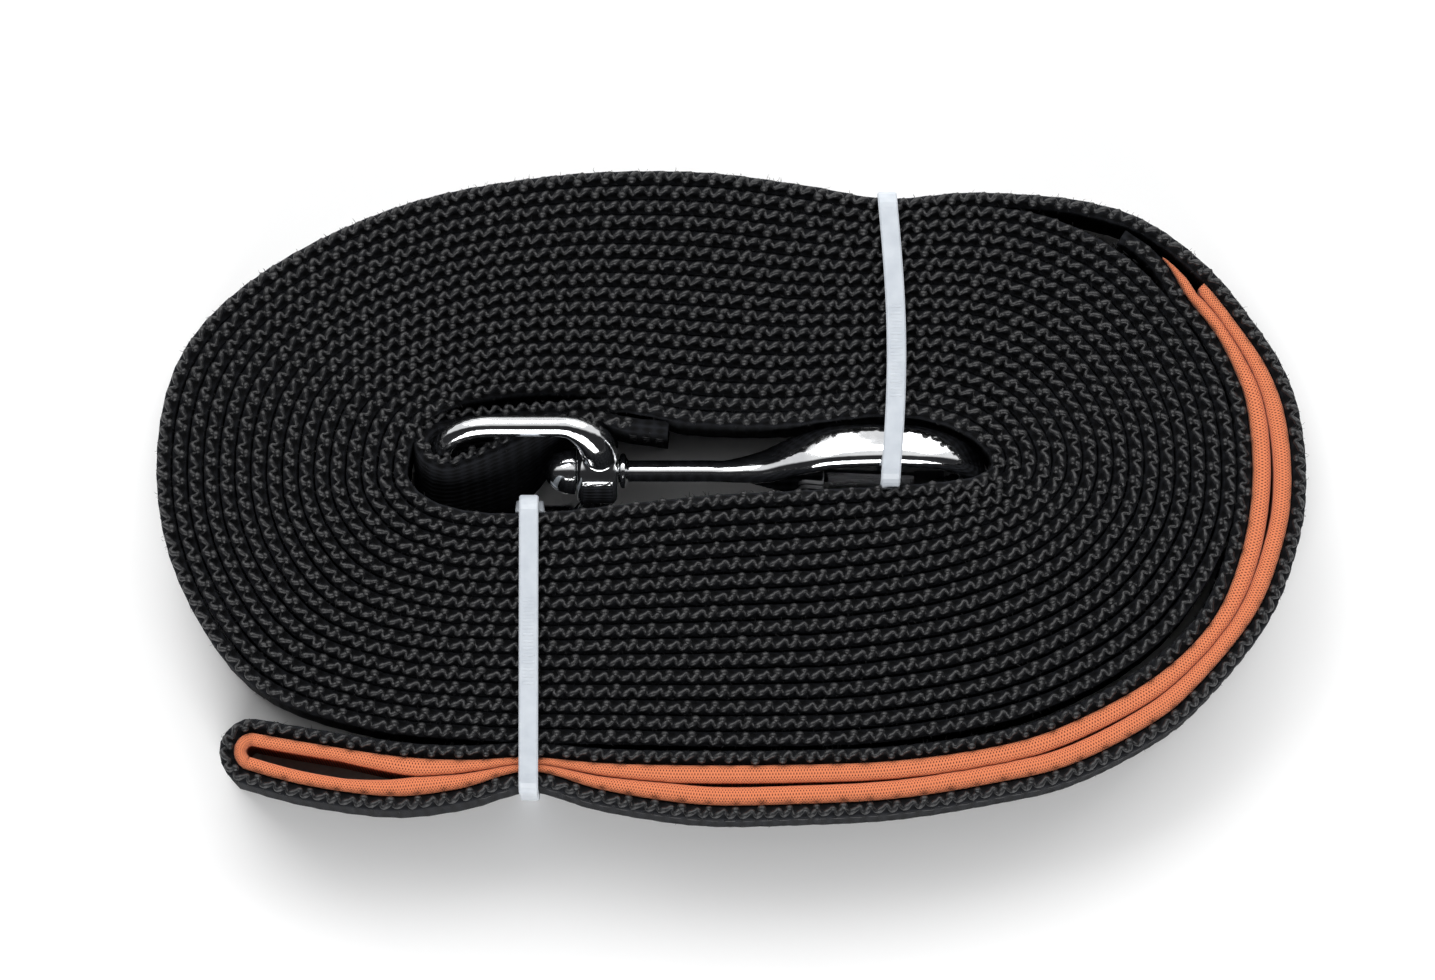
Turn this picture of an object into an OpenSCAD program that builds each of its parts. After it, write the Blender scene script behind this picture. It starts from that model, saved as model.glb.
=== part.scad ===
// Training leash wound on edge into a flat hank, with a padded hand loop round the outside, a swivel
// snap in the slot in its middle and two cable ties. The hank rests on z = 0, and X is its length.

/* [Webbing] */
// Width of the webbing, which stands on edge
web_w = 20; // [19.5:0.1:20]
// Thickness of the webbing
web_t = 2.2; // [1.8:0.1:2.2]
// Thickness of the padded lining where nothing presses on it
pad_t = 2.1; // [1.5:0.1:2.1]

/* [Snap] */
// Height of the swivel axis above the surface that the hank rests on
axis_z = 12; // [12:0.1:12.3]
// Lean of the eye from upright
eye_lean = 30; // [29:1:31]
// Lean of the hook from upright
hook_lean = 28; // [27:1:29]
// Wire diameter of the eye
eye_wire = 3.2; // [2.8:0.1:3.2]
// Outer radius of the hub that the shank turns in
hub_r = 4.8; // [4.4:0.1:4.8]
// Radius of the shank
shank_r = 1.8; // [1.6:0.1:1.8]
// Thickness of the hook in its own plane
hook_t = 3.6; // [3.2:0.1:3.8]
// Half of the hook's width across its back
hook_half_w = 3; // [2.6:0.1:3]
// Radius of the gate's pin
pin_r = 0.6; // [0.5:0.05:0.6]

/* [Cable ties] */
// Width of a cable tie
tie_w = 2.8; // [2.4:0.1:2.8]
// Thickness of a cable tie's strap
tie_t = 1.0; // [0.8:0.1:1]
// Place of the left tie along the hank
tie_left_x = -29.2; // [-29.4:0.1:-29]
// Place of the right tie along the hank
tie_right_x = 22.6; // [22.4:0.1:22.8]

/* [Hidden] */
$fn = 48;

axis_y = 3.9;
running_gap = 0.05;
soft_gap = 0.12;
pad_gap = 0.06;
cover_t = 0.5;
slot_step_z = 14.4;
curve_steps = 5;
eye_mid_x = -29.9;
eye_half_l = 12;
eye_half_w = 11.3;
eye_corner_r = 7;
hub_from = -22.3;
hub_to = -16.3;
head_l = 4.6;
head_r = 3.4;
pivot = [11, -3.2];
gate_half_w = 1.8;
lug_half_w = 1.1;
spring_half_w = 0.55;
spring_wire_r = 0.2;
tie_head = [4.4, 4.8, 2.9];

// Outline of the windings, from the left end over the top
windings_outline = [
    [-83.2, 4], [-81.3, 17.5], [-76.7, 25], [-70.9, 30.1], [-62.2, 35.8], [-53.6, 40.2], [-43.5, 43.8],
    [-31, 46.2], [-18.9, 47.1], [-9, 47.1], [0, 46.5], [10, 45.2], [22, 44.1], [32, 43.8], [40, 42.6],
    [47, 40], [54, 37], [59.8, 32.4], [63.4, 28.2], [67, 23.6], [70.4, 17.5], [72.4, 11], [73.1, 3],
    [71.2, -8], [65.6, -18], [59.6, -23.6], [48.5, -29.9], [37, -33.8], [24, -35.8], [4, -36.6],
    [-16, -36.2], [-29, -35.6], [-40, -35.6], [-54, -33.7], [-63, -30.8], [-70, -27.2], [-77, -17.8],
    [-81.3, -8.5]
];
// Outline of the slot's upper half, and of its lower half, which is wider because the snap leans
slot_upper = [
    [-46.7, 4], [-46.2, 9], [-42, 13.2], [-34, 13.6], [-24, 13.6], [-17, 12.9], [-9, 11.6], [0, 9.4],
    [10, 10.2], [22, 11.4], [30, 10.6], [35, 8.4], [37.9, 4.8], [35.5, 2], [27, 1.4], [8, 0.6],
    [-14, -1.2], [-27, -2.8], [-37, -2.8], [-44, -0.6]
];
slot_lower = [
    [-46.9, 2], [-46.2, 9], [-42, 12.6], [-34, 13], [-24, 13.4], [-17, 12.9], [-9, 11.4], [0, 9.4],
    [10, 10], [22, 10.6], [30, 10], [35.6, 8.4], [38.2, 4], [35.5, -1], [27, -2.6], [8, -2.6],
    [-14, -3.2], [-27, -5.2], [-37, -5.2], [-44.6, -4.3]
];
// Middle line of the hand loop: its outer leaf, the fold at the far left and its inner leaf
outer_leaf = [
    [46, 42.3], [52.8, 41.2], [58.4, 39.4], [64, 36], [69.6, 31], [74.2, 25.2], [78.6, 18.6],
    [81.2, 11.4], [82.1, 1.9], [80.9, -7], [76.6, -18], [67.2, -29.4], [60, -34.9], [49, -40.3],
    [38.5, -42.8], [24.2, -45.1], [10, -45.9], [-4.5, -46], [-18.6, -43.9], [-29, -41.2],
    [-39, -43.7], [-49, -44.8], [-61, -43.3]
];
fold_mid = [-69, -37.3];
fold_r = 3.8;
inner_leaf = [
    [-61, -34.9], [-48, -36.9], [-38, -37.4], [-29, -37], [-18, -37.9], [-5, -38.2], [10, -38.1],
    [24, -37.5], [38.5, -35.4], [48.5, -32.2], [60.3, -25.8], [68.4, -18], [72.6, -8.6], [74.3, 2],
    [73.6, 12.2], [71.8, 17.7], [69, 23], [65.1, 28], [62.4, 32.6], [59.7, 35.4], [56.6, 37.5]
];
// The tail's run through the eye and round its bar: x, then y and z of the upper and the lower edge
fold_edges = [
    [-9.1, 9.6, 20, 9.2, 0.4], [-15, 10.2, 20, 10, 0.5], [-19.5, 11.2, 19.9, 10.6, 0.8],
    [-24, 11.2, 19.4, 8.8, 1], [-28, 10.4, 19.3, 3.4, 2.4], [-31.5, 9, 19.8, -0.4, 4.2],
    [-36, 6.8, 20, -2, 4.7], [-40.6, 5.2, 20, -3.1, 5.5], [-43.3, 5.7, 20, -2.7, 5.3],
    [-44.9, 8.4, 19.9, -1, 3.7], [-43.7, 10.6, 19, 1.2, 2.7], [-40.5, 11.6, 18.5, 2.2, 2.1],
    [-36, 12.2, 18.4, 3, 1.9]
];
// The hook's middle line in its own plane, along the snap and across it
hook_line = [
    [0, 0], [5, 1.2], [9.6, 4.1], [14.5, 6.3], [20.5, 6.95], [27, 6.6], [32, 4.6], [35, 1],
    [34.4, -2.8], [31.4, -4.4]
];

// Half widths of the hook across its back, along the snap
hook_widths = [[-1, 1.8], [6, 1.9], [12, 2.6], [17, 3], [27, 3], [33, 2.5], [38, 1.7]];
function hook_plan(k) =
    let (n = len(hook_widths))
    [for (i = [0:n - 1])
        let (q = hook_widths[k > 0 ? i : n - 1 - i])
        [q[0], k * min(q[1], hook_half_w)]];

function spline(a, b, c, d, t) =
    0.5 * (2 * b + (c - a) * t + (2 * a - 5 * b + 4 * c - d) * t * t + (3 * b - a - 3 * c + d) * t * t * t);

// Smooth curve through points, as a closed loop
function closed_curve(p) =
    let (n = len(p))
    [for (i = [0:n - 1]) for (j = [0:curve_steps - 1])
        spline(p[(i + n - 1) % n], p[i], p[(i + 1) % n], p[(i + 2) % n], j / curve_steps)];

// Smooth curve through points, from the first to the last
function open_curve(p, steps = curve_steps) =
    let (n = len(p))
    concat(
        [for (i = [0:n - 2]) for (j = [0:steps - 1])
            spline(p[max(i - 1, 0)], p[i], p[i + 1], p[min(i + 2, n - 1)], j / steps)],
        [p[n - 1]]
    );

function unit(v) = v / norm(v);
function side(p, i) =
    let (d = unit(p[min(i + 1, len(p) - 1)] - p[max(i - 1, 0)]))
    [-d.y, d.x];
// The path moved sideways by near, and back again moved by far, which closes a strip
function strip(p, near, far) =
    concat(
        [for (i = [0:len(p) - 1]) p[i] + side(p, i) * near[i]],
        [for (i = [len(p) - 1:-1:0]) p[i] + side(p, i) * far[i]]
    );
function same(p, value) = [for (q = p) value];

// A closed outline with each corner rounded by an arc of radius r
function rounded(p, r, steps = 5) =
    let (n = len(p))
    [for (i = [0:n - 1])
        let (a = unit(p[(i + n - 1) % n] - p[i]), b = unit(p[(i + 1) % n] - p[i]))
        let (half = acos(a * b) / 2, reach = r / tan(half))
        let (mid = p[i] + unit(a + b) * r / sin(half))
        let (from = p[i] + a * reach - mid, to = p[i] + b * reach - mid)
        for (j = [0:steps])
            let (d = unit(from) * (1 - j / steps) + unit(to) * j / steps)
            mid + unit(d) * r];

fold_arc = [for (a = [70:20:250]) fold_mid + fold_r * [cos(a), sin(a)]];
fold_back = [for (i = [len(fold_arc) - 1:-1:0]) fold_arc[i]];
loop_path = concat(open_curve(outer_leaf), fold_back, open_curve(inner_leaf));
// The lining runs between the places where the leaves come together at the upper right
lining_path = [
    for (i = [0:len(loop_path) - 1])
        if (loop_path[i].y < 27 && (loop_path[i].x < 70 || loop_path[i].y < 24)) loop_path[i]
];
function squeezed(p, full) =
    let (by_tie = (p.x - tie_left_x) / 10)
    min(full - (full - 0.75) * exp(-by_tie * by_tie), 0.75 + (full - 0.75) * min(1, (27 - p.y) / 17));

module slab(outline, from, height) {
    translate([0, 0, from])
        linear_extrude(height)
            polygon(outline);
}

// A tie's loop in its own plane, from the hank's side to its middle
tie_left_loop = rounded(
    [[-42.4, tie_t + 0.1], [-42.4, web_w + 0.05], [-0.7, web_w + 0.05], [-5, tie_t + 0.1]], 1.6
);
tie_right_loop = rounded(
    [[-3, tie_t + 0.1], [2.5, 21.45], [9, 21.45], [42.9, web_w + 0.05], [42.9, tie_t + 0.1]], 1.4
);
function grown(p, by) =
    let (n = len(p))
    [for (i = [0:n - 1])
        let (d = unit(p[(i + 1) % n] - p[(i + n - 1) % n]))
        p[i] + by * [-d.y, d.x]];

module tie_strap(loop, x, w, inside, outside) {
    translate([x - w / 2, 0, 0])
        rotate([90, 0, 90])
            linear_extrude(w)
                difference() {
                    polygon(grown(loop, outside));
                    polygon(grown(loop, -inside));
                }
}

// Room that the two straps press into the webbing
module tie_room() {
    tie_strap(tie_left_loop, tie_left_x, tie_w + 0.4, soft_gap, tie_t + soft_gap);
    tie_strap(tie_right_loop, tie_right_x, tie_w + 0.4, soft_gap, tie_t + soft_gap);
}

module tie_head_block() {
    difference() {
        translate([-tie_head.x / 2, -tie_head.y / 2, 0])
            cube([tie_head.x, tie_head.y, tie_head.z - tie_t]);
        translate([-0.7, 0.8, -1])
            cube([1.4, 2, 5]);
    }
}

// The two rows of stitches along the loop's faces, from a depth below the face to a height above it
module stitch_rows(depth, height, half_w) {
    rows = [for (i = [6:len(lining_path) - 7]) lining_path[i]];
    face = web_t / 2;
    difference() {
        for (z = [3, web_w - 3])
            slab(strip(rows, same(rows, face - depth), same(rows, face + height)), z - half_w, 2 * half_w);
        translate([-82, -46, -1])
            cube([45, 22, 30]);
    }
}

module line_windings() {
    color("#17181b")
        difference() {
            slab(closed_curve(windings_outline), 0, web_w);
            slab(closed_curve(slot_upper), slot_step_z, web_w);
            slab(closed_curve(slot_lower), -1, slot_step_z + 1);
            tie_room();
        }
}

module handle_loop() {
    color("#1b1c20")
        difference() {
            slab(strip(loop_path, same(loop_path, -web_t / 2), same(loop_path, web_t / 2)), 0, web_w);
            tie_room();
            stitch_rows(0.3, 0.5, 0.3);
        }
}

// A strip of the lining between two depths from the webbing's face, the second one from the far face
module lining_strip(near_depth, far_depth, edge) {
    inside = web_t / 2 + pad_gap;
    near = [for (q = lining_path) -inside - near_depth];
    far = [for (q = lining_path) -inside - max(squeezed(q, pad_t) - far_depth, near_depth + 0.15)];
    slab(strip(lining_path, near, far), edge, web_w - 2 * edge);
}

module lining_cover() {
    color("#e8834a")
        difference() {
            lining_strip(0, 0, 0.3);
            lining_strip(-0.04, cover_t, 1.3);
            tie_room();
        }
}

module lining_foam() {
    color("#d9c9b0")
        lining_strip(0.04, cover_t + 0.04, 1.35);
}

// The edges' line moved out by half of the webbing's thickness, at the upper or the lower edge
function fold_edge(high, by) =
    let (p = open_curve([for (q = fold_edges) high ? [q[0], q[1], q[2]] : [q[0], q[3], q[4]]], 3))
    [for (i = [0:len(p) - 1])
        let (d = unit(p[min(i + 1, len(p) - 1)] - p[max(i - 1, 0)]))
        p[i] + by * unit([-d.y, d.x, 0])];

module snap_end_fold() {
    half = web_t / 2 - 0.05;
    ring = [fold_edge(true, half), fold_edge(true, -half), fold_edge(false, -half), fold_edge(false, half)];
    n = len(ring[0]);
    color("#17181b")
        polyhedron(
            points = [for (i = [0:n - 1]) for (k = [0:3]) ring[k][i]],
            faces = concat(
                [[0, 1, 2, 3]],
                [for (i = [0:n - 2]) for (k = [0:3])
                    let (a = 4 * i + k, b = 4 * i + (k + 1) % 4)
                    each [[a, a + 4, b + 4], [a, b + 4, b]]],
                [[4 * n - 1, 4 * n - 2, 4 * n - 3, 4 * n - 4]]
            )
        );
}

module snap_end_stitching() {
    color("#26272b")
        for (x = [-14.2:1.9:-10]) for (z = [4.5:2.8:16])
            translate([x, 6.65 - 0.136 * x + 0.008 * z, z])
                rotate([0, 0, -7])
                    cube([1.3, 0.25, 0.4], center = true);
}

module handle_join_stitching() {
    color("#26272b")
        for (i = [0:2]) for (z = [4:3:16])
            translate([58.7 - 1.45 * i, 34.05 + 1.2 * i, z])
                rotate([0, 0, -40])
                    cube([1.3, 0.25, 0.4], center = true);
}

module lining_stitching() {
    color("#26272b")
        difference() {
            stitch_rows(0.27, -0.02, 0.2);
            tie_room();
        }
}

// Places its children in a plane that holds the snap's axis and leans by angle, with +Y across it
module leaned(angle) {
    translate([0, axis_y, axis_z])
        rotate([90 - angle, 0, 0])
            children();
}

module wire_bend(x, y, turn) {
    translate([x, y, 0])
        rotate([0, 0, turn])
            rotate_extrude(angle = 90)
                translate([eye_corner_r, 0])
                    circle(d = eye_wire, $fn = 32);
}

module wire_bar(x, y, turn, l) {
    translate([x, y, 0])
        rotate([0, 90, turn])
            cylinder(d = eye_wire, h = l, center = true, $fn = 32);
}

module swivel_eye() {
    flat_x = eye_half_l - eye_corner_r;
    flat_y = eye_half_w - eye_corner_r;
    color("#c9ccd2")
        leaned(eye_lean)
            difference() {
                union() {
                    for (k = [-1, 1]) {
                        wire_bar(eye_mid_x, k * eye_half_w, 0, 2 * flat_x);
                        wire_bar(eye_mid_x + k * eye_half_l, 0, 90, 2 * flat_y);
                    }
                    for (c = [[1, 1, 0], [-1, 1, 90], [-1, -1, 180], [1, -1, 270]])
                        wire_bend(eye_mid_x + c[0] * flat_x, c[1] * flat_y, c[2]);
                    translate([hub_from, 0, 0])
                        rotate([0, 90, 0])
                            cylinder(r = hub_r, h = hub_to - hub_from);
                }
                translate([hub_from - 1, 0, 0])
                    rotate([0, 90, 0])
                        cylinder(r = shank_r + running_gap, h = hub_to - hub_from + 4);
            }
}

module hook_profile() {
    path = open_curve(hook_line, 6);
    half = [for (i = [0:len(path) - 1]) hook_t / 2 * (1 - 0.3 * max(0, i / len(path) - 0.7) / 0.3)];
    polygon(strip(path, -half, half));
    translate(path[len(path) - 1])
        circle(r = half[len(path) - 1], $fn = 32);
}

module snap_hook() {
    color("#d3d6db")
        leaned(hook_lean)
            difference() {
                union() {
                    translate([hub_from - 0.15 - head_l, 0, 0])
                        rotate([0, 90, 0])
                            cylinder(r1 = head_r * 0.62, r2 = head_r, h = head_l);
                    translate([hub_from - 0.2, 0, 0])
                        rotate([0, 90, 0])
                            cylinder(r = shank_r, h = -hub_from + 1.5);
                    translate([hub_to + 0.15, 0, 0])
                        rotate([0, 90, 0])
                            cylinder(r = 2.6, h = 1);
                    intersection() {
                        translate([0, 0, -hook_half_w])
                            linear_extrude(2 * hook_half_w)
                                hook_profile();
                        rotate([90, 0, 0])
                            linear_extrude(40, center = true)
                                polygon(concat(hook_plan(1), hook_plan(-1)));
                    }
                    translate([0, 0, -lug_half_w])
                        linear_extrude(2 * lug_half_w)
                            polygon([[1, -1], [4, 1.5], [8.5, 3.2], [13.4, 5], [13.6, -2.4],
                                [12.6, -4.6], [10.4, -5], [8.6, -4.4]]);
                }
                translate([pivot.x, pivot.y, -5])
                    cylinder(r = pin_r + running_gap, h = 10);
                translate([pivot.x - 1.7, pivot.y - 3, -spring_half_w])
                    cube([6, 4.9, 2 * spring_half_w]);
            }
}

module gate_lever() {
    color("#b9bcc2")
        leaned(hook_lean)
            difference() {
                union() {
                    for (k = [-1, 1])
                        translate([0, 0, k * (gate_half_w + lug_half_w + 0.1) / 2])
                            linear_extrude(gate_half_w - lug_half_w - 0.1, center = true)
                                union() {
                                    translate(pivot)
                                        circle(r = 1.5);
                                    polygon([[pivot.x, -4.7], [28.4, -4.7], [28.4, -3.2],
                                        [14, -2.2], [pivot.x, -1.7]]);
                                }
                    translate([14.2, -4.7, -gate_half_w])
                        cube([14.2, 0.7, 2 * gate_half_w]);
                    translate([26.6, -3.9, -1.5])
                        cube([1.6, 1.6, 3]);
                    translate([27, -3, -1.5])
                        cube([4, 0.8, 3]);
                }
                translate([pivot.x, pivot.y, -5])
                    cylinder(r = pin_r + running_gap, h = 10);
            }
}

module gate_pin() {
    color("#a9acb2")
        leaned(hook_lean)
            translate([pivot.x, pivot.y, -gate_half_w - 0.3])
                cylinder(r = pin_r, h = 2 * gate_half_w + 0.6);
}

module gate_spring() {
    coil_r = pin_r + 0.1 + spring_wire_r;
    color("#8d9096")
        leaned(hook_lean)
            translate([pivot.x, pivot.y, 0]) {
                rotate_extrude()
                    translate([coil_r - spring_wire_r, -0.5])
                        square([2 * spring_wire_r, 1]);
                translate([0, -coil_r, 0.25])
                    rotate([0, 90, 0])
                        cylinder(r = spring_wire_r, h = 3, $fn = 24);
                translate([0, coil_r, -0.25])
                    rotate([0, 90, 0])
                        cylinder(r = spring_wire_r, h = 2.4, $fn = 24);
            }
}

module cable_tie_left() {
    color("#cfd6dc") {
        tie_strap(tie_left_loop, tie_left_x, tie_w, 0, tie_t);
        translate([tie_left_x, -2.5, 8.4])
            rotate([-102.8, 0, 0])
                tie_head_block();
    }
}

module cable_tie_right() {
    color("#cfd6dc") {
        tie_strap(tie_right_loop, tie_right_x, tie_w, 0, tie_t);
        translate([tie_right_x, 1.4, tie_t + 0.05])
            tie_head_block();
    }
}

line_windings();
handle_loop();
snap_end_fold();
lining_cover();
lining_foam();
snap_end_stitching();
handle_join_stitching();
lining_stitching();
swivel_eye();
snap_hook();
gate_lever();
gate_pin();
gate_spring();
cable_tie_left();
cable_tie_right();
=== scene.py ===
"""Training leash: a 5 m webbing leash wound on edge, its padded hand loop, its snap and two cable ties."""

import math

import bmesh
import bpy
import numpy as np
from mathutils import Matrix, Vector


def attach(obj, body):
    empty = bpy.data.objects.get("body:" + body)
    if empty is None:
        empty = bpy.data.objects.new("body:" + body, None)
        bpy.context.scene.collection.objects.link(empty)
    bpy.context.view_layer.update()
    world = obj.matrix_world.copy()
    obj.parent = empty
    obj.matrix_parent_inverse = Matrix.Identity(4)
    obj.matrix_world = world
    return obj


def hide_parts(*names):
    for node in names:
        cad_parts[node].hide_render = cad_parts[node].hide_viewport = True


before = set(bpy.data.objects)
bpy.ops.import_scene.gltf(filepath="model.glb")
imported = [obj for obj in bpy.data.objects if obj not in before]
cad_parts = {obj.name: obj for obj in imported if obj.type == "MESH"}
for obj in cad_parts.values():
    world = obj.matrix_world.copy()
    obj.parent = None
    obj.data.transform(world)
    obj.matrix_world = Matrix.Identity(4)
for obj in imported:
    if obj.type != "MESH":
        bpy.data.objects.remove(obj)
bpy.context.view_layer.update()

MM = 0.001
rng = np.random.default_rng(7)

# The webbing, the lining and the snap, in millimetres as in the CAD
WEB_W = 20.0
WEB_T = 2.06
PAD_FULL = 2.6
# How high up the hank the lining of the outer leaf and of the inner leaf reaches
LINING_END = (31.5, 34.0)
LINING_GAP = 0.06
TURNS = 16
AXIS_Y, AXIS_Z = 3.9, 12.0
EYE_LEAN, HOOK_LEAN = math.radians(30), math.radians(28)
TIE_LEFT_X, TIE_RIGHT_X = -29.2, 22.6
TIE_W, TIE_T = 2.8, 1.0
KNIT_PITCH = 1.95

# Camera first: steep view from the near side, through a long lens
ELEVATION = math.radians(85)
LOOK_AT = Vector((-1.95, 0.455, 20)) * MM
DISTANCE = 1.6
VIEW_WIDTH = 0.2072


def camera():
    data = bpy.data.cameras.new("camera")
    data.sensor_width = 36
    data.lens = 36 * DISTANCE / VIEW_WIDTH
    data.clip_start, data.clip_end = 0.05, 20
    cam = bpy.data.objects.new("camera", data)
    bpy.context.scene.collection.objects.link(cam)
    away = Vector((0, -math.cos(ELEVATION), math.sin(ELEVATION)))
    cam.location = LOOK_AT + away * DISTANCE
    cam.rotation_euler = (math.pi / 2 - ELEVATION, 0, 0)
    bpy.context.scene.camera = cam


camera()


# ---------------------------------------------------------------- materials
def material(name, color, rough, metallic=0.0, sheen=0.0):
    mat = bpy.data.materials.new(name)
    mat.use_nodes = True
    shader = mat.node_tree.nodes["Principled BSDF"]
    shader.inputs["Base Color"].default_value = (*color, 1)
    shader.inputs["Roughness"].default_value = rough
    shader.inputs["Metallic"].default_value = metallic
    shader.inputs["Sheen Weight"].default_value = sheen
    shader.inputs["Sheen Roughness"].default_value = 0.45
    return mat, mat.node_tree, shader


def add(tree, kind, **inputs):
    node = tree.nodes.new(kind)
    for key, value in inputs.items():
        node.inputs[key.replace("_", " ")].default_value = value
    return node


def noise(tree, scale, detail=3.0):
    coords = tree.nodes.new("ShaderNodeTexCoord")
    node = add(tree, "ShaderNodeTexNoise", Scale=scale, Detail=detail)
    tree.links.new(coords.outputs["Object"], node.inputs["Vector"])
    return node.outputs["Fac"]


def ramp(tree, fac, stops):
    node = tree.nodes.new("ShaderNodeValToRGB")
    node.color_ramp.elements[0].position, node.color_ramp.elements[1].position = stops[0][0], stops[-1][0]
    for element, stop in zip(node.color_ramp.elements, (stops[0], stops[-1])):
        element.color = (*stop[1], 1)
    for position, color in stops[1:-1]:
        node.color_ramp.elements.new(position).color = (*color, 1)
    tree.links.new(fac, node.inputs["Fac"])
    return node.outputs["Color"]


def bump(tree, shader, height, strength, distance):
    node = add(tree, "ShaderNodeBump", Strength=strength, Distance=distance)
    tree.links.new(height, node.inputs["Height"])
    tree.links.new(node.outputs["Normal"], shader.inputs["Normal"])


def yarn(name, dark, light, scale=2600.0, sheen=0.03):
    mat, tree, shader = material(name, dark, 0.46, sheen=sheen)
    fine = noise(tree, scale)
    tree.links.new(ramp(tree, fine, [(0.34, dark), (0.66, light)]), shader.inputs["Base Color"])
    bump(tree, shader, fine, 0.55, 0.0002)
    return mat


def metal(name, low, high, rough, scale, stretch=(1, 1, 1)):
    """Bright metal with worn patches, and with scratches where the noise is stretched."""
    mat, tree, shader = material(name, high, rough, metallic=1.0)
    coords = tree.nodes.new("ShaderNodeTexCoord")
    place = add(tree, "ShaderNodeMapping", Scale=stretch)
    grain = add(tree, "ShaderNodeTexNoise", Scale=scale, Detail=4.0)
    tree.links.new(coords.outputs["Object"], place.inputs["Vector"])
    tree.links.new(place.outputs["Vector"], grain.inputs["Vector"])
    fac = grain.outputs["Fac"]
    tree.links.new(ramp(tree, fac, [(0.3, low), (0.6, high)]), shader.inputs["Base Color"])
    spread = add(tree, "ShaderNodeMapRange")
    spread.inputs["To Min"].default_value = rough * 0.6
    spread.inputs["To Max"].default_value = rough * 1.7
    tree.links.new(fac, spread.inputs["Value"])
    tree.links.new(spread.outputs["Result"], shader.inputs["Roughness"])
    bump(tree, shader, fac, 0.12, 0.00005)
    return mat


def uv_waves(tree, pitch_u, pitch_v, bricks=False):
    """From 0 to 1: highest at the points of a grid, or of a brick pattern, on the UV map in millimetres."""
    uv = tree.nodes.new("ShaderNodeUVMap")
    split = tree.nodes.new("ShaderNodeSeparateXYZ")
    tree.links.new(uv.outputs["UV"], split.inputs["Vector"])
    waves = []
    for axis, pitch in (("X", pitch_u), ("Y", pitch_v)):
        turn = tree.nodes.new("ShaderNodeMath")
        turn.operation = "MULTIPLY"
        turn.inputs[1].default_value = 2 * math.pi / pitch
        wave = tree.nodes.new("ShaderNodeMath")
        wave.operation = "COSINE"
        tree.links.new(split.outputs[axis], turn.inputs[0])
        tree.links.new(turn.outputs[0], wave.inputs[0])
        waves.append(wave.outputs[0])
    both = tree.nodes.new("ShaderNodeMath")
    both.operation = "MULTIPLY" if bricks else "ADD"
    tree.links.new(waves[0], both.inputs[0])
    tree.links.new(waves[1], both.inputs[1])
    level = add(tree, "ShaderNodeMapRange")
    reach = 1.0 if bricks else 2.0
    level.inputs["From Min"].default_value, level.inputs["From Max"].default_value = -reach, reach
    tree.links.new(both.outputs[0], level.inputs["Value"])
    return level.outputs["Result"]


def webbing_material():
    """Flat faces of the webbing: a coarse knit in rows along it, with painted shade in the knit's hollows."""
    mat, tree, shader = material("webbing", (0.006, 0.0065, 0.008), 0.9)
    shader.inputs["Specular IOR Level"].default_value = 0.2
    knit = uv_waves(tree, KNIT_PITCH, 1.25)
    # Painted shade: the ramp paints the knit's hollows far darker than its ridges.
    color = ramp(tree, knit, [(0.15, (0.0015, 0.0016, 0.002)), (0.75, (0.010, 0.011, 0.014))])
    tree.links.new(color, shader.inputs["Base Color"])
    bump(tree, shader, knit, 0.9, 0.0004)
    return mat


def lining_material():
    """Fine knit with rows of tiny holes, with painted shade inside the holes."""
    mat, tree, shader = material("lining_knit", (0.72, 0.22, 0.09), 0.85, sheen=0.12)
    holes = uv_waves(tree, 0.43, 1.06, bricks=True)
    # Painted shade: the knit darkens towards each hole, down to near black-red at its centre.
    color = ramp(tree, holes, [(0.0, (0.68, 0.205, 0.085)), (0.66, (0.64, 0.175, 0.068)),
                               (0.84, (0.07, 0.008, 0.005))])
    tree.links.new(color, shader.inputs["Base Color"])
    raised = tree.nodes.new("ShaderNodeMath")
    raised.operation = "SUBTRACT"
    raised.inputs[0].default_value = 1.0
    tree.links.new(holes, raised.inputs[1])
    bump(tree, shader, raised.outputs[0], 0.8, 0.00012)
    return mat


def nylon_material():
    mat, tree, shader = material("nylon", (0.62, 0.69, 0.75), 0.36)
    shader.inputs["Subsurface Weight"].default_value = 0.25
    shader.inputs["Subsurface Radius"].default_value = (0.002, 0.002, 0.002)
    fac = noise(tree, 500)
    tree.links.new(ramp(tree, fac, [(0.3, (0.45, 0.485, 0.53)), (0.7, (0.52, 0.555, 0.595))]),
                   shader.inputs["Base Color"])
    bump(tree, shader, fac, 0.1, 0.0001)
    return mat


WEB = webbing_material()
KNOB = yarn("knit_arch", (0.0014, 0.0015, 0.0020), (0.0066, 0.0071, 0.0090))
LOOP = yarn("knit_knot", (0.0012, 0.0013, 0.0017), (0.0054, 0.0058, 0.0074))
THREAD = yarn("sewing_thread", (0.006, 0.0065, 0.008), (0.018, 0.019, 0.023), scale=4000.0)
LINING = lining_material()
CHROME = metal("chrome", (0.70, 0.71, 0.73), (0.86, 0.87, 0.88), 0.09, 260)
STEEL = metal("steel", (0.38, 0.38, 0.39), (0.66, 0.66, 0.67), 0.26, 900, stretch=(0.15, 1, 1))
NYLON = nylon_material()


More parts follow.
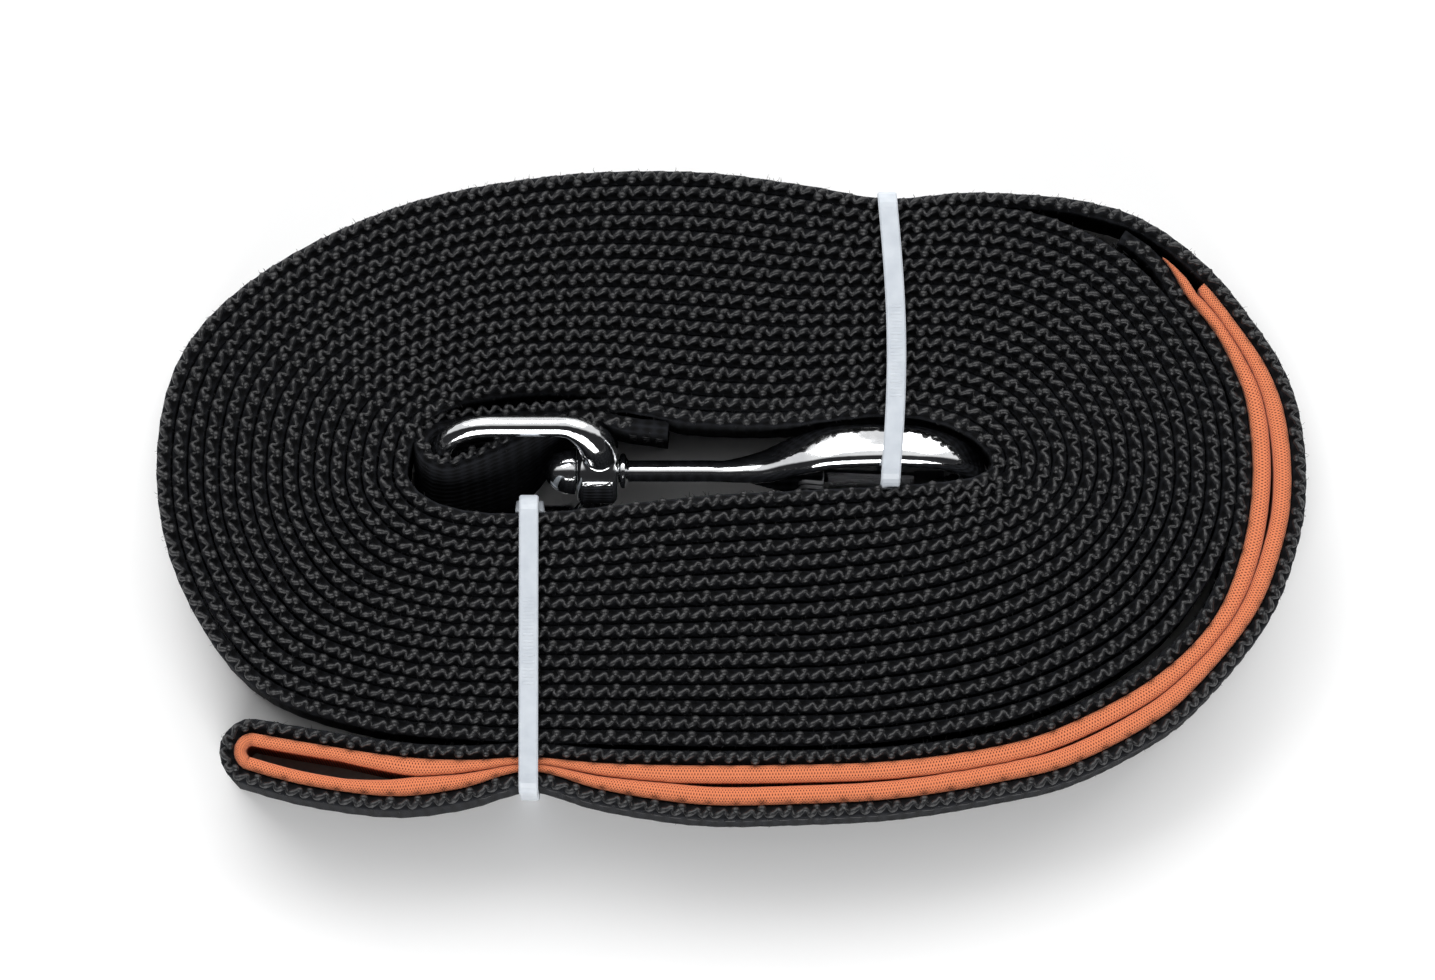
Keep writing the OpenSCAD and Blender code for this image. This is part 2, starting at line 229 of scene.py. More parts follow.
# ---------------------------------------------------------------- meshes
def solid(name, verts, faces, mat, uvs=None, body="root", smooth=True):
    """A mesh piece from millimetres, with a finish, that rides on a CAD body."""
    mesh = bpy.data.meshes.new(name)
    mesh.from_pydata((np.asarray(verts, float) * MM).tolist(), [],
                     [list(map(int, f)) for f in faces])
    if uvs is not None:
        layer = mesh.uv_layers.new(name="UVMap")
        index = np.zeros(len(mesh.loops), np.int32)
        mesh.loops.foreach_get("vertex_index", index)
        layer.data.foreach_set("uv", np.asarray(uvs, np.float32)[index].ravel())
    mesh.polygons.foreach_set("use_smooth", [smooth] * len(mesh.polygons))
    mesh.materials.append(mat)
    mesh.update()
    obj = bpy.data.objects.new(name, mesh)
    bpy.context.scene.collection.objects.link(obj)
    tidy = bmesh.new()
    tidy.from_mesh(mesh)
    bmesh.ops.recalc_face_normals(tidy, faces=tidy.faces)
    tidy.to_mesh(mesh)
    tidy.free()
    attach(obj, body)
    return obj


def smooth_line(points, per_span=8):
    """Catmull-Rom curve through points of any dimension."""
    p = np.asarray(points, float)
    p = np.vstack([2 * p[0] - p[1], p, 2 * p[-1] - p[-2]])
    t = np.linspace(0, 1, per_span, endpoint=False)[:, None]
    spans = [
        0.5 * (2 * b + (c - a) * t + (2 * a - 5 * b + 4 * c - d) * t**2 + (3 * b - a - 3 * c + d) * t**3)
        for a, b, c, d in zip(p[:-3], p[1:-2], p[2:-1], p[3:])
    ]
    return np.vstack([*spans, p[-2:-1]])


def even_line(line, step):
    """The line at equal steps of its length in plan."""
    s = np.concatenate([[0], np.cumsum(np.hypot(*np.diff(line[:, :2], axis=0).T))])
    at = np.linspace(0, s[-1], max(2, int(round(s[-1] / step)) + 1))
    return np.column_stack([np.interp(at, s, line[:, i]) for i in range(line.shape[1])]), at


def unit(v):
    return v / np.maximum(np.linalg.norm(v, axis=-1, keepdims=True), 1e-9)


def ring_faces(rings, around, closed=False, base=0):
    faces = []
    for i in range(rings if closed else rings - 1):
        a, b = i * around, ((i + 1) % rings) * around
        faces += [(base + a + j, base + a + (j + 1) % around, base + b + (j + 1) % around,
                   base + b + j)
                  for j in range(around)]
    if not closed:
        faces.append([base + j for j in range(around)][::-1])
        faces.append([base + (rings - 1) * around + j for j in range(around)])
    return faces


def copies(verts, faces, places, axes):
    """One mesh made of a small one at every place; axes holds each copy's three directions."""
    v = np.asarray(verts, float)
    out = np.einsum("vk,nkc->nvc", v, axes) + places[:, None, :]
    many = [tuple(k * len(v) + i for i in f) for k in range(len(places)) for f in faces]
    return out.reshape(-1, 3), many


def ball(across, around):
    """Unit ball, as vertices and faces."""
    verts = [(0, 0, -1)]
    for i in range(1, across):
        a = math.pi * i / across
        verts += [(math.sin(a) * math.cos(t), math.sin(a) * math.sin(t), -math.cos(a))
                  for t in np.linspace(0, 2 * math.pi, around, endpoint=False)]
    verts.append((0, 0, 1))
    faces = [(0, 1 + (j + 1) % around, 1 + j) for j in range(around)]
    for i in range(across - 2):
        a, b = 1 + i * around, 1 + (i + 1) * around
        faces += [(a + j, a + (j + 1) % around, b + (j + 1) % around, b + j) for j in range(around)]
    last = 1 + (across - 2) * around
    faces += [(last + j, last + (j + 1) % around, len(verts) - 1) for j in range(around)]
    return verts, faces


# ---------------------------------------------------------------- route of the webbing
# Each station goes from the slot's edge to the hank's outline; a turn runs through all of them
STATIONS = [
    ((-44.3, 4), (-80.9, 4)), ((-42.5, 9), (-77.5, 19.5)), ((-37, 12), (-66, 31)),
    ((-28, 12.8), (-47, 40.1)), ((-17, 11.9), (-26, 44.2)), ((-6, 10.1), (-6, 44.8)),
    ((6, 9.8), (10, 42.95)), ((14, 10.7), (22, 41.9)), ((22, 11.4), (34, 41.9)),
    ((29, 10.6), (47, 40)), ((34.5, 8.4), (59.8, 32.4)), ((37.4, 5.4), (70.4, 17.5)),
    ((37.2, 3.2), (73.2, 3)), ((34, 1.9), (70.6, -9.5)), ((28, 1.5), (61.5, -22)),
    ((19, 1.2), (45, -31.4)), ((8, 0.8), (24, -35.8)), ((-3, 0.2), (4, -36.6)),
    ((-14, -1), (-16, -36.3)), ((-25, -2.3), (-36, -35.7)), ((-35, -2.6), (-54, -33.7)),
    ((-42, -1.3), (-70, -27.2)), ((-45.8, 1.2), (-80, -12.5)),
]
FIRST_STATION = 4
LAST_STATION = 8
FOLD_EDGES = [
    (-9.1, 9.6, 20, 9.2, 0.4), (-15, 10.2, 20, 10, 0.5), (-19.5, 11.2, 19.9, 10.6, 0.8),
    (-24, 11.2, 19.4, 8.8, 1), (-28, 10.4, 19.3, 3.4, 2.4), (-31.5, 9, 19.8, -0.4, 4.2),
    (-36, 6.8, 20, -2, 4.7), (-40.6, 5.2, 20, -3.1, 5.5), (-43.3, 5.7, 20, -2.7, 5.3),
    (-44.9, 8.4, 19.9, -1, 3.7), (-43.7, 10.6, 19, 1.2, 2.7), (-40.5, 11.6, 18.5, 2.2, 2.1),
    (-36, 12.2, 18.4, 3, 1.9),
]
OUTER_LEAF = [
    (46, 42.3), (52.8, 41.2), (58.4, 39.4), (64, 36), (69.6, 31), (74.2, 25.2), (78.6, 18.6),
    (81.2, 11.4), (82.1, 1.9), (80.9, -7), (76.6, -18), (67.2, -29.4), (60, -34.9), (49, -40.3),
    (38.5, -42.8), (24.2, -45.1), (10, -45.9), (-4.5, -46), (-18.6, -43.9), (-29, -41.2),
    (-39, -43.7), (-49, -44.8), (-61, -43.3),
]
INNER_LEAF = [
    (-61, -34.9), (-48, -36.9), (-38, -37.4), (-29, -37), (-18, -37.9), (-5, -38.2), (10, -38.1),
    (24, -37.5), (38.5, -35.4), (48.5, -32.2), (60.3, -25.8), (68.4, -18), (72.6, -8.6), (74.3, 2),
    (73.6, 12.2), (71.8, 17.7), (69, 23), (65.1, 28), (62.4, 32.6), (59.7, 35.4), (56.6, 37.5),
]
LOOP_FOLD = (-69, -37.3)
LOOP_FOLD_R = 3.8


def loop_line():
    arc = [(LOOP_FOLD[0] + LOOP_FOLD_R * math.cos(math.radians(a)),
            LOOP_FOLD[1] + LOOP_FOLD_R * math.sin(math.radians(a))) for a in range(250, 60, -20)]
    return OUTER_LEAF + arc + INNER_LEAF


def pressed(x, y, layer):
    """How far a tie pulls the webbing in, on the side of the hank that it goes round."""
    by_right = math.exp(-(((x - TIE_RIGHT_X) / 3.5) ** 2)) if y > 9 else 0
    by_left = math.exp(-(((x - TIE_LEFT_X) / 3.5) ** 2)) if y < -3 else 0
    return (0.4 * by_left - 0.9 * by_right) * layer * layer


def winding_points():
    """Upper and lower edge of the windings: x, y, z of one and then of the other."""
    points = []
    for turn in range(TURNS + 1):
        first = FIRST_STATION if turn == 0 else 0
        last = LAST_STATION if turn == TURNS else len(STATIONS) - 1
        for i in range(first, last + 1):
            (sx, sy), (wx, wy) = STATIONS[i]
            layer = (turn + 0.5) / TURNS
            x, y = sx + (wx - sx) * layer, sy + (wy - sy) * layer
            y += pressed(x, y, min(layer, 1))
            under = math.sin(math.pi * np.clip((i - 12) / 10, 0, 1))
            points.append((x, y, WEB_W, x, y - 2.4 * under * (1 - min(layer, 1)), 0.15))
    return points


def webbing_route():
    tail = [(x, yu, zu, x, yl, zl) for x, yu, zu, yl, zl in FOLD_EDGES]
    loop = [(x, y, WEB_W, x, y, 0.15) for x, y in loop_line()]
    return even_line(smooth_line(tail + winding_points() + loop), 1.3)


def over_tie(x, y):
    """1 where a strap passes over and under the webbing, 0 away from it."""
    right = np.exp(-(((x - TIE_RIGHT_X) / 2.3) ** 4)) * (y > 3)
    left = np.exp(-(((x - TIE_LEFT_X) / 2.3) ** 4)) * (y < -1)
    return np.maximum(right, left)


route, route_at = webbing_route()
upper, lower = route[:, :3].copy(), route[:, 3:].copy()
covered = over_tie(upper[:, 0], upper[:, 1])
upper[:, 2] -= 0.25 * covered
lower[:, 2] += 1.15 * covered
rise = unit(upper - lower)
run = unit(np.gradient((upper + lower) / 2, axis=0))
aside = unit(np.cross(rise, run))
WEB_LENGTH = route_at[-1]


def webbing():
    """The whole strip: a rounded section that keeps its width from the tail to the end of the loop."""
    h = WEB_T / 2
    across = [-h + 0.5, h - 0.5, h, h, h, h, h - 0.45, -h + 0.45, -h, -h, -h, -h]
    height = [0, 0, 0.5, 0.33, 0.66, -1.8, -1.35, -1.35, -1.8, 0.66, 0.33, 0.5]
    face_mm = [0, 1.4, 2, 8.1, 14.7, 20, 20.6, 22, 22.6, 28, 34.6, 40.6]
    tall = np.linalg.norm(upper - lower, axis=1)
    rings = []
    for a, b in zip(across, height):
        up = tall + b if b < 0 else (tall * b if b in (0.33, 0.66) else np.full_like(tall, b))
        ripple = 0.05 * np.sin(route_at * 2 * math.pi / KNIT_PITCH / 2 + b) * np.sign(a)
        rings.append(lower + rise * up[:, None] + aside * (a + ripple)[:, None])
    verts = np.stack(rings, 1).reshape(-1, 3)
    uvs = np.column_stack([np.repeat(route_at, len(across)), np.tile(face_mm, len(route))])
    strip = solid("webbing_strip", verts, ring_faces(len(route), len(across)), WEB, uvs)
    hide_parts("line_windings", "handle_loop", "snap_end_fold")
    return strip


def edge_places(at, sink):
    """Places along the webbing's upper edge with their directions: along, inward and up."""
    pick = lambda field: np.column_stack([np.interp(at, route_at, field[:, i]) for i in range(3)])
    up = unit(pick(rise))
    along = unit(pick(run))
    along = unit(along - up * np.sum(along * up, axis=1, keepdims=True))
    side = -np.cross(up, along)
    return pick(upper) - up * sink, np.stack([along, side, up], axis=1)


# One pair of stitches on the upper edge: how far along, inward and up, and the yarn's radius there
STITCH_PAIR = [(0.0, -0.58, -0.14, 0.28), (0.55, -0.40, 0.10, 0.46), (1.15, -0.04, 0.0, 0.32),
               (1.55, 0.28, -0.04, 0.33), (1.88, -0.02, -0.06, 0.28), (1.98, -0.40, -0.08, 0.27),
               (2.28, -0.62, 0.02, 0.36), (2.70, -0.36, 0.14, 0.42), (3.00, 0.02, 0.10, 0.37),
               (3.30, 0.20, -0.30, 0.26), (3.62, -0.25, -0.36, 0.24)]


def knit_edge():
    """The upper edge's stitches: one yarn through pairs of slanted stitches, and a knot after each pair."""
    starts = np.arange(1, WEB_LENGTH - 4 * KNIT_PITCH, 2 * KNIT_PITCH)
    yarn_at = np.tile(np.array(STITCH_PAIR), (len(starts), 1))
    yarn_at[:, 0] += np.repeat(starts, len(STITCH_PAIR))
    yarn_at[:, :3] += rng.normal(0, 0.05, (len(yarn_at), 3))
    yarn_at = smooth_line(yarn_at, 2)
    places, axes = edge_places(WEB_LENGTH - yarn_at[:, 0], 0.40)
    line = places + axes[:, 1] * yarn_at[:, 1:2] + axes[:, 2] * yarn_at[:, 2:3]
    along = unit(np.gradient(line, axis=0))
    out = unit(np.cross(axes[:, 2], along))
    top = np.cross(along, out)
    ring = np.linspace(0, 2 * math.pi, 6, endpoint=False)
    tube = np.stack([line + yarn_at[:,
                                    3:4] * (out * math.cos(b) + top * math.sin(b)) for b in ring],
                                    1)
    arches = solid("webbing_edge_arches", tube.reshape(-1, 3), ring_faces(len(line), len(ring)),
                   KNOB)

    places, axes = edge_places(WEB_LENGTH - starts - 3.12, 0.20)
    places = places + axes[:, 1] * 0.42 + rng.normal(0, 0.06, places.shape)
    size = 1 + rng.normal(0, 0.09, len(places))
    verts, faces = ball(6, 8)
    v, f = copies(np.asarray(verts) * (0.62, 0.50, 0.50), faces, places, axes * size[:, None, None])
    knots = solid("webbing_edge_knots", v, f, LOOP)
    return [arches, knots, fuzz()]


def fuzz(count=9000):
    """Short loose fibres that stand off the webbing's edge and outer faces."""
    at = rng.uniform(2, WEB_LENGTH - 2, count)
    pick = lambda field: np.column_stack([np.interp(at, route_at, field[:, i]) for i in range(3)])
    share = np.where(rng.random(count) < 0.7, rng.uniform(0.9, 0.97, count),
                     rng.uniform(0.15, 0.9, count))
    across = rng.choice([-1.0, 1.0], count)
    low, high, up, side = pick(lower), pick(upper), pick(rise), pick(aside)
    root = low + (high - low) * share[:, None] + side * (across * (WEB_T / 2 - 0.1))[:, None]
    lean = unit(side * (across * rng.uniform(0.1, 0.8, count))[:, None] + up * rng.uniform(0.0,
                                                                                           0.9, (count, 1))
                + rng.normal(0, 0.5, (count, 3)) * (1, 1, 0.4))
    bend = unit(lean + rng.normal(0, 0.6, (count, 3)) * (1, 1, 0.5))
    length = rng.uniform(0.3, 0.8, (count, 1))
    near, far = root + lean * length * 0.6, root + lean * length * 0.6 + bend * length * 0.5
    far[:, 2] = np.clip(far[:, 2], 0.2, WEB_W + 0.5)
    flat_a, flat_b = np.array([1.0, 0, 0]), np.array([0, 0.8, 0.6])
    verts = np.stack([p + r * d for p, r in ((root, 0.035), (near, 0.028), (far, 0.01))
                      for d in (flat_a, flat_b, -flat_a - flat_b)], 1)
    faces = [tuple(9 * k + i for i in f) for k in range(count) for f in ring_faces(3, 3)]
    hairs = solid("webbing_fuzz", verts.reshape(-1, 3), faces, KNOB)
    return hairs


# ---------------------------------------------------------------- lining and stitches
def loop_route(step):
    line, at = even_line(smooth_line([(x, y, 0) for x, y in loop_line()]), step)
    along = unit(np.gradient(line, axis=0))
    side = np.column_stack([-along[:, 1], along[:, 0], np.zeros(len(line))])
    ends = ((line[:, 1] < LINING_END[0]) | (at > at[-1] / 2)) & ((line[:,
                                                                       1] < LINING_END[1]) | (at < at[-1] / 2))
    return line[ends], side[ends], along[ends], at[ends]


def room_beside(line, side, at):
    """Half of the free width between a leaf of the loop and the other leaf."""
    gap = np.full(len(line), 9.0)
    for i, (point, out) in enumerate(zip(line, side)):
        far = np.abs(at - at[i]) > 14
        away = line[far] - point
        ahead = -(away @ out)
        beside = np.abs(away @ np.array([-out[1], out[0], 0]))
        hit = ahead[(ahead > 0.5) & (beside < 1.0)]
        if len(hit):
            gap[i] = hit.min()
    return (gap - WEB_T) / 2 - LINING_GAP


def lining():
    """The padded strip between the loop's leaves: a crowned section as thick as its room lets it be."""
    line, side, _, at = loop_route(0.8)
    room = room_beside(line, side, at)
    room = np.convolve(np.pad(room, 3, mode="edge"), np.ones(7) / 7, mode="valid")
    thick = np.clip(room, 0.5, PAD_FULL - 0.75 * np.clip((-46 - line[:, 0]) / 10, 0, 1))
    thick = thick * np.clip(0.7 + (at - at[0]) / 3, 0, 1) * np.clip(0.06 + (at[-1] - at) / 9, 0, 1)
    corner = np.linspace(0, math.pi, 9)
    ring = [(0.5 - 0.5 * math.cos(a), math.sin(a), 1) for a in corner]
    ring += [(0.5 + 0.5 * math.cos(a), -math.sin(a), -1) for a in corner]
    near = WEB_T / 2 + LINING_GAP
    verts = []
    around = np.cumsum([0] + [math.hypot(b[0] - a[0], b[1] - a[1]) for a, b in zip(ring, ring[1:])])
    crowd = 0.05 * np.sin(at * 2 * math.pi / 5.3) + 0.04 * np.sin(at * 2 * math.pi / 2.1 + 1)
    for depth, lift, end in ring:
        z = np.where(end > 0, 18.75 + crowd, 1.35) + lift * np.minimum(thick * 0.5, 0.95)
        verts.append(line - side * (near + depth * thick)[:, None] + np.array([0, 0, 1]) * z[:,
                                                                                             None])
    verts = np.stack(verts, 1).reshape(-1, 3)
    uvs = np.column_stack([np.repeat(at, len(ring)), np.tile(around * PAD_FULL, len(line))])
    pad = solid("hand_loop_lining", verts, ring_faces(len(line), len(ring)), LINING, uvs)
    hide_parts("lining_cover", "lining_foam")
    return pad


def stitches(name, places, along, up, nodes, length=1.3, thick=0.13):
    """A piece of sewing: one rounded thread for each stitch."""
    verts, faces = ball(6, 8)
    shaped = np.asarray(verts) * (length / 2, thick, thick)
    side = unit(np.cross(up, along))
    v, f = copies(shaped, faces, np.asarray(places, float), np.stack([along, side, up], axis=1))
    piece = solid(name, v, f, THREAD)
    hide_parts(nodes)
    return piece


def sewing():
    line, side, along, at = loop_route(2.6)
    keep = np.ones(len(line), bool)
    keep[:5] = keep[-5:] = False
    keep &= ~((line[:, 0] < -37) & (line[:, 1] < -24)) & (np.abs(line[:, 0] - TIE_LEFT_X) > 2.5)
    rows = [line[keep] + side[keep] * (WEB_T / 2 + 0.02) + np.array([0, 0, z]) for z in (3,
                                                                                         WEB_W - 3)]
    up = np.tile([0.0, 0, 1], (2 * keep.sum(), 1))
    stitches("lining_stitch_rows", np.vstack(rows), np.tile(along[keep], (2, 1)), up,
             "lining_stitching", 2.1)

    tail = [(x, 6.72 - 0.136 * x + 0.008 * z, z) for x in np.arange(-14.2, -10,
                                                                    1.9) for z in np.arange(4.5,
                                                                                            16.1, 2.8)]
    turn = math.radians(-7.7)
    stitches("snap_end_stitches", tail,
             np.tile([math.cos(turn), math.sin(turn), 0], (len(tail), 1)),
             np.tile([0.0, 0, 1], (len(tail), 1)), "snap_end_stitching")
    join = [(58.7 - 1.45 * i, 34.05 + 1.2 * i, z) for i in range(3) for z in range(4, 17, 3)]
    turn = math.radians(-40)
    stitches("hand_loop_join_stitches", join,
             np.tile([math.cos(turn), math.sin(turn), 0], (len(join), 1)),
             np.tile([0.0, 0, 1], (len(join), 1)), "handle_join_stitching")


# ---------------------------------------------------------------- snap
HOOK_LINE = [(0, 0), (5, 1.2), (9.6, 4.1), (14.5, 6.3), (20.5, 6.95), (27, 6.6), (32, 4.6), (35, 1),
             (34.4, -2.8), (31.4, -4.4)]
HOOK_WIDTHS = [(-30, 1.5), (-1, 1.5), (2, 1.9), (6, 2.6), (12, 3.4), (17, 3.5), (27, 3.4),
               (33, 2.7), (38, 1.7)]
HUB_FROM, HUB_TO, HUB_R = -22.3, -16.3, 4.8
HEAD_L, HEAD_R = 4.6, 3.4
EYE_MID, EYE_HALF_L, EYE_HALF_W, EYE_CORNER, EYE_WIRE = -29.9, 12, 11.3, 7, 3.2


def leaned(points, lean):
    """Points of the snap's own plane (along, across, off the plane) in the row frame."""
    p = np.asarray(points, float)
    return np.column_stack([
        p[:, 0],
        AXIS_Y + p[:, 1] * math.sin(lean) - p[:, 2] * math.cos(lean),
        AXIS_Z + p[:, 1] * math.cos(lean) + p[:, 2] * math.sin(lean),
    ])


def lathe(profile, around=40):
    """A turned shape round the snap's axis, from (along, radius) points."""
    ring = np.linspace(0, 2 * math.pi, around, endpoint=False)
    verts = [(u, r * math.cos(a), r * math.sin(a)) for u, r in profile for a in ring]
    return np.array(verts), ring_faces(len(profile), around)


def cast(name, shapes, lean, body, voxel, node):
    """One casting out of overlapping shapes: fused, then softened so that they run into each other."""
    verts, faces = [], []
    for v, f in shapes:
        faces += [tuple(len(verts) + i for i in face) for face in f]
        verts += list(v)
    piece = solid(name, leaned(verts, lean), faces, CHROME, body=body)
    fuse = piece.modifiers.new("fuse", "REMESH")
    fuse.mode, fuse.voxel_size, fuse.use_smooth_shade = "VOXEL", voxel * MM, True
    soft = piece.modifiers.new("soften", "SMOOTH")
    soft.factor, soft.iterations = 0.5, 5
    bpy.context.view_layer.update()
    made = bpy.data.meshes.new_from_object(piece.evaluated_get(bpy.context.evaluated_depsgraph_get()))
    piece.modifiers.clear()
    piece.data = made
    made.materials.clear()
    made.materials.append(CHROME)
    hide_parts(node)
    return piece


def swivel_eye():
    flat_l, flat_w = EYE_HALF_L - EYE_CORNER, EYE_HALF_W - EYE_CORNER
    line = []
    for cx, cy, start in ((1, 1, 0), (-1, 1, 90), (-1, -1, 180), (1, -1, 270)):
        for a in np.radians(np.arange(start, start + 91, 9)):
            line.append((EYE_MID + cx * flat_l + EYE_CORNER * math.cos(a),
                         cy * flat_w + EYE_CORNER * math.sin(a), 0))
    line = np.array(line)
    along = unit(np.roll(line, -1, 0) - np.roll(line, 1, 0))
    out = np.column_stack([along[:, 1], -along[:, 0], np.zeros(len(line))])
    ring = np.linspace(0, 2 * math.pi, 18, endpoint=False)
    flare = EYE_WIRE / 2 + 1.1 * np.clip((line[:, 0] + 24) / 5, 0, 1)
    wire = [p - o * (r - EYE_WIRE / 2) + r * o * math.cos(b) + np.array([0, 0, 1]) * r * math.sin(b)
            for p, o, r in zip(line, out, flare) for b in ring]
    hub = lathe([(HUB_FROM, 2.3), (HUB_FROM, HUB_R - 0.7), (HUB_FROM + 0.7, HUB_R),
                 (HUB_TO - 0.7, HUB_R),
                 (HUB_TO, HUB_R - 0.7), (HUB_TO, 2.3)])
    cast("swivel_eye_casting",
         [(np.array(wire), ring_faces(len(line), len(ring), closed=True)), hub],
         EYE_LEAN, "root", 0.22, "swivel_eye")


def prism(outline, low, high):
    n = len(outline)
    verts = [(u, v, w) for w in (low, high) for u, v in outline]
    sides = [(i, (i + 1) % n, n + (i + 1) % n, n + i) for i in range(n)]
    return np.array(verts), [tuple(range(n))[::-1], tuple(range(n, 2 * n)), *sides]


def snap_hook():
    """Shank, spoon-shaped back and nose in one sweep, with the rivet head, the shoulder and the gate's lugs."""
    line = smooth_line([(-22.4, 0), (-12, 0), (-4, 0), *HOOK_LINE], 7)
    along = unit(np.gradient(line, axis=0))
    out = np.column_stack([-along[:, 1], along[:, 0]])
    share = np.linspace(0, 1, len(line))
    half = np.interp(line[:, 0], (-1, 3),
                     (1.5, 1.8)) * (1 - 0.3 * np.clip((share - 0.82) / 0.18, 0, 1))
    wide = np.interp(line[:, 0], *np.array(HOOK_WIDTHS).T)
    wide = np.where(share > 0.82, np.minimum(wide, 2.4 - 3 * (share - 0.82)), wide)
    ring = np.linspace(0, 2 * math.pi, 24, endpoint=False)
    power = lambda c: math.copysign(abs(c) ** 0.8, c)
    sweep = [(p[0] + o[0] * h * power(math.cos(b)), p[1] + o[1] * h * power(math.cos(b)),
              w * power(math.sin(b)))
             for p, o, h, w in zip(line, out, half, wide) for b in ring]
    nose_v, nose_f = ball(10, 20)
    nose = (np.asarray(nose_v) * (half[-1], half[-1], wide[-1]) + (*line[-1], 0), nose_f)
    dome = [(HUB_FROM - 0.15 - HEAD_L * (1 - t),
             HEAD_R * math.sqrt(max(0.02, 1 - (1 - t) ** 2.4))) for t in np.linspace(0, 1, 12)]
    lug = [(1, -1), (4, 1.5), (8.5, 3.2), (13.4, 5), (13.6, -2.4), (12.6, -4.6), (10.4, -5),
           (8.6, -4.4)]
    shoulder = lathe([(HUB_TO + 0.15, 2.3), (HUB_TO + 0.4, 2.6), (HUB_TO + 0.9, 2.6),
                      (HUB_TO + 1.3, 1.8)])
    cast("snap_hook_casting",
         [(np.array(sweep), ring_faces(len(line), len(ring))), nose, lathe(dome), shoulder,
                               prism(lug, -1.1, 1.1)], HOOK_LEAN, "hook", 0.2, "snap_hook")


# ---------------------------------------------------------------- cable ties
def rounded_loop(corners, r, steps=6):
    """A closed line through corners, each rounded by an arc."""
    p = [Vector(c) for c in corners]
    line = []
    for i, here in enumerate(p):
        a, b = (p[i - 1] - here).normalized(), (p[(i + 1) % len(p)] - here).normalized()
        half = a.angle(b) / 2
        mid = here + (a + b).normalized() * (r / math.sin(half))
        start, end = here + a * (r / math.tan(half)) - mid, here + b * (r / math.tan(half)) - mid
        line += [tuple(mid + start.lerp(end, j / steps).normalized() * r) for j in range(steps + 1)]
    return line


def cable_tie(name, node, corners, r, x, bow, head_at, head_turn):
    """A strap with bevelled edges and a toothed stretch, and its head."""
    line, at = even_line(np.array([*(loop := rounded_loop(corners, r)), loop[0]]), 0.5)
    line, at = line[:-1], at[:-1]
    tangent = unit(np.roll(line, -1, 0) - np.roll(line, 1, 0))
    out = np.column_stack([-tangent[:, 1], tangent[:, 0]])
    centre = line.mean(0)
    if np.sum((line - centre) * out) < 0:
        out = -out
    span = np.ptp(line[:, 0])
    bowed = x + bow * np.sin(math.pi * (line[:, 0] - line[:, 0].min()) / span) * (line[:, 1] > 15)
    hw, e = TIE_W / 2, 0.22
    section = [(-hw, e), (-hw + e, 0), (hw - e, 0), (hw, e), (hw, TIE_T - e), (hw - e, TIE_T),
               (-hw + e, TIE_T),
               (-hw, TIE_T - e)]
    verts = [(bowed[i] + a, *(line[i] + out[i] * b)) for i in range(len(line)) for a, b in section]
    faces = ring_faces(len(line), len(section), closed=True)
    for i in range(0, len(line), 2):
        if line[i][1] > 15 and 0.35 < (line[i][0] - line[:, 0].min()) / span < 0.66:
            low, high = line[i] + out[i] * (TIE_T - 0.05), line[i] + out[i] * (TIE_T + 0.07)
            step = tangent[i] * 0.24
            base = len(verts)
            for corner in (low - step, low + step, high + step * 0.5, high - step * 0.5):
                verts += [(bowed[i] - 0.85, *corner), (bowed[i] + 0.85, *corner)]
            b = base
            faces += [(b, b + 1, b + 3, b + 2), (b + 2, b + 3, b + 5, b + 4),
                      (b + 4, b + 5, b + 7, b + 6),
                      (b + 6, b + 7, b + 1, b), (b, b + 2, b + 4, b + 6),
                      (b + 1, b + 7, b + 5, b + 3)]
    head = bmesh.new()
    bmesh.ops.create_cube(head, size=1)
    for v in head.verts:
        taper = 0.9 if v.co.z > 0 else 1
        v.co = Vector((v.co.x * 4.4 * taper, v.co.y * 4.8 * taper, (v.co.z + 0.5) * 1.9))
    bmesh.ops.bevel(head, geom=head.edges[:], offset=0.35, segments=3, affect="EDGES", profile=0.6)
    place = Matrix.Translation(head_at) @ Matrix.Rotation(math.radians(head_turn), 4, "X")
    base = len(verts)
    head.verts.index_update()
    verts += [tuple(place @ v.co) for v in head.verts]
    faces += [tuple(base + v.index for v in f.verts) for f in head.faces]
    head.free()
    tie = solid(name, verts, faces, NYLON)
    for polygon in tie.data.polygons:
        polygon.use_smooth = False
    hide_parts(node)


# ---------------------------------------------------------------- studio
def area_light(name, place, aim, size, power):
    data = bpy.data.lights.new(name, "AREA")
    data.shape, data.size, data.energy = "SQUARE", size, power
    light = bpy.data.objects.new(name, data)
    light.location = place
    light.rotation_euler = (Vector(aim) - Vector(place)).to_track_quat("-Z", "Y").to_euler()
    bpy.context.scene.collection.objects.link(light)


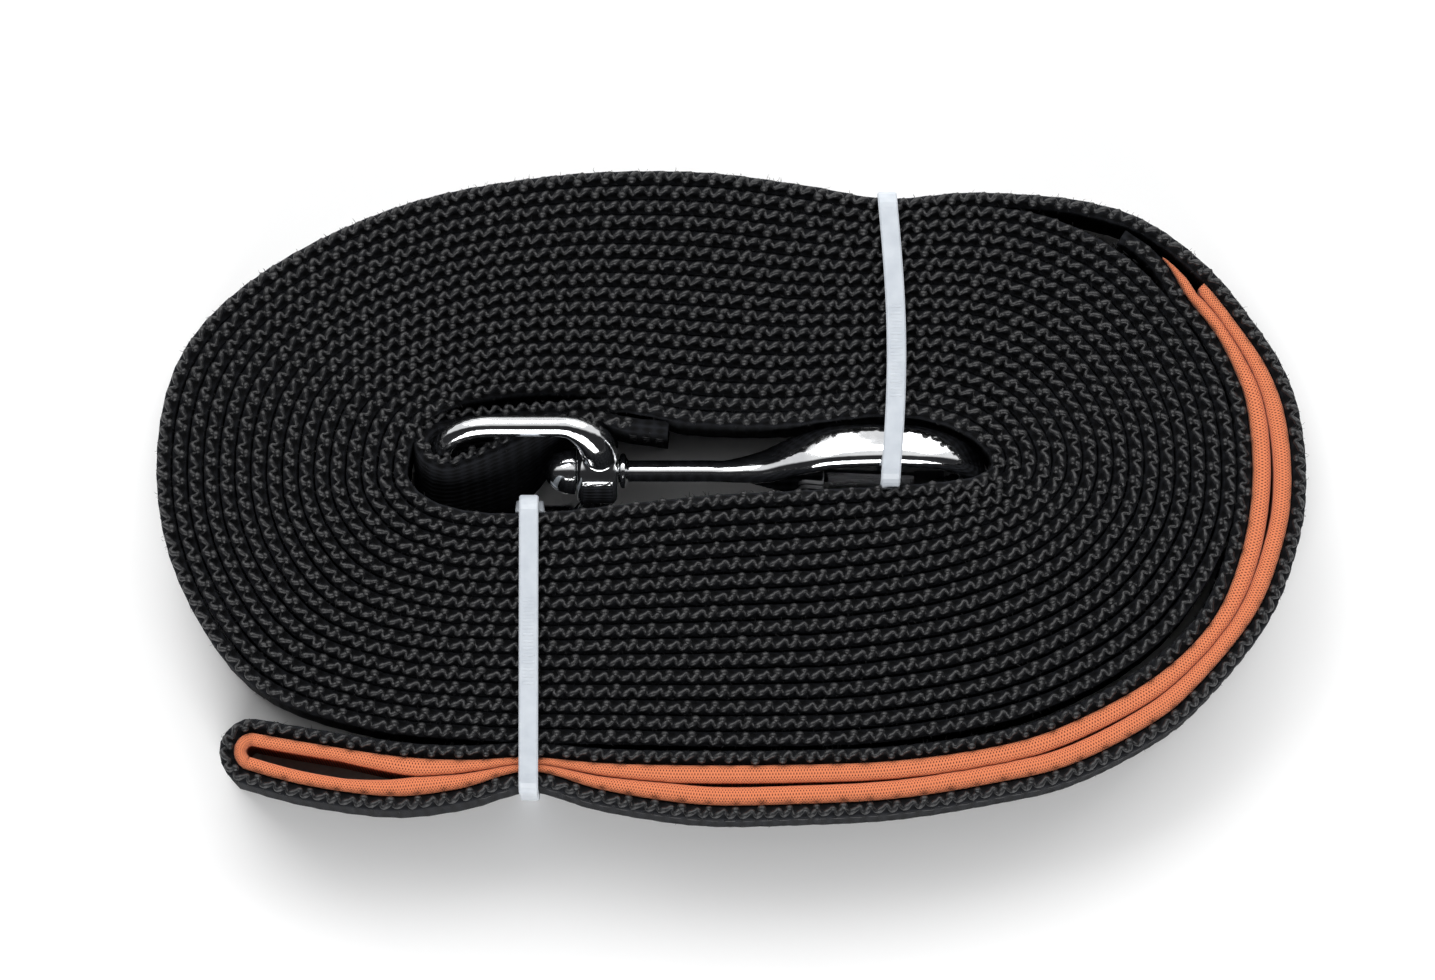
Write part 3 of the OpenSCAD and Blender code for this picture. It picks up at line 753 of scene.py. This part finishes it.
def studio():
    mesh = bpy.data.meshes.new("floor")
    half = 3.0
    mesh.from_pydata([(-half, -half, -0.0002), (half, -half, -0.0002), (half, half, -0.0002),
                      (-half, half, -0.0002)], [], [(0, 1, 2, 3)])
    mat, tree, shader = material("floor", (0.94, 0.94, 0.94), 0.8)
    mesh.materials.append(mat)
    floor = bpy.data.objects.new("floor", mesh)
    bpy.context.scene.collection.objects.link(floor)
    world = bpy.data.worlds.new("studio")
    world.use_nodes = True
    tree = world.node_tree
    coords = tree.nodes.new("ShaderNodeTexCoord")
    split = tree.nodes.new("ShaderNodeSeparateXYZ")
    tree.links.new(coords.outputs["Generated"], split.inputs["Vector"])
    half_turn = tree.nodes.new("ShaderNodeMath")
    half_turn.operation = "MULTIPLY_ADD"
    half_turn.inputs[1].default_value, half_turn.inputs[2].default_value = 0.5, 0.5
    tree.links.new(split.outputs["Y"], half_turn.inputs[0])
    sky = ramp(tree, half_turn.outputs[0], [(0.49, (0.03, 0.03, 0.032)), (0.57, (1.0, 1.0, 1.0))])
    tree.links.new(sky, tree.nodes["Background"].inputs["Color"])
    tree.nodes["Background"].inputs["Strength"].default_value = 0.85
    bpy.context.scene.world = world
    area_light("key", (-0.5, 0.95, 1.0), (0, 0, 0), 1.1, 14)
    area_light("fill", (0.6, 1.0, 0.85), (0, 0, 0), 1.1, 10)
    area_light("front", (0, -1.7, 0.6), (0, 0, 0), 1.8, 48)
    bpy.context.scene.view_settings.view_transform = "Standard"


strip = webbing()
knit_edge()
lining()
sewing()
swivel_eye()
snap_hook()
for node in ("gate_lever", "gate_pin", "gate_spring"):
    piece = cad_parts[node]
    piece.data.materials.clear()
    piece.data.materials.append(STEEL)
cable_tie("cable_tie_left_strap", "cable_tie_left",
          [(-42.4, 1.1), (-42.4, 20.05), (-0.7, 20.05), (-5, 1.1)],
          1.6, TIE_LEFT_X, 0.0, (TIE_LEFT_X, -2.5, 8.4), -102.8)
cable_tie("cable_tie_right_strap", "cable_tie_right",
          [(-3, 1.1), (2.5, 21.45), (9, 21.45), (42.9, 20.05), (42.9, 1.1)], 1.4, TIE_RIGHT_X, 1.3,
          (TIE_RIGHT_X, 1.4, 1.05), 0)
studio()
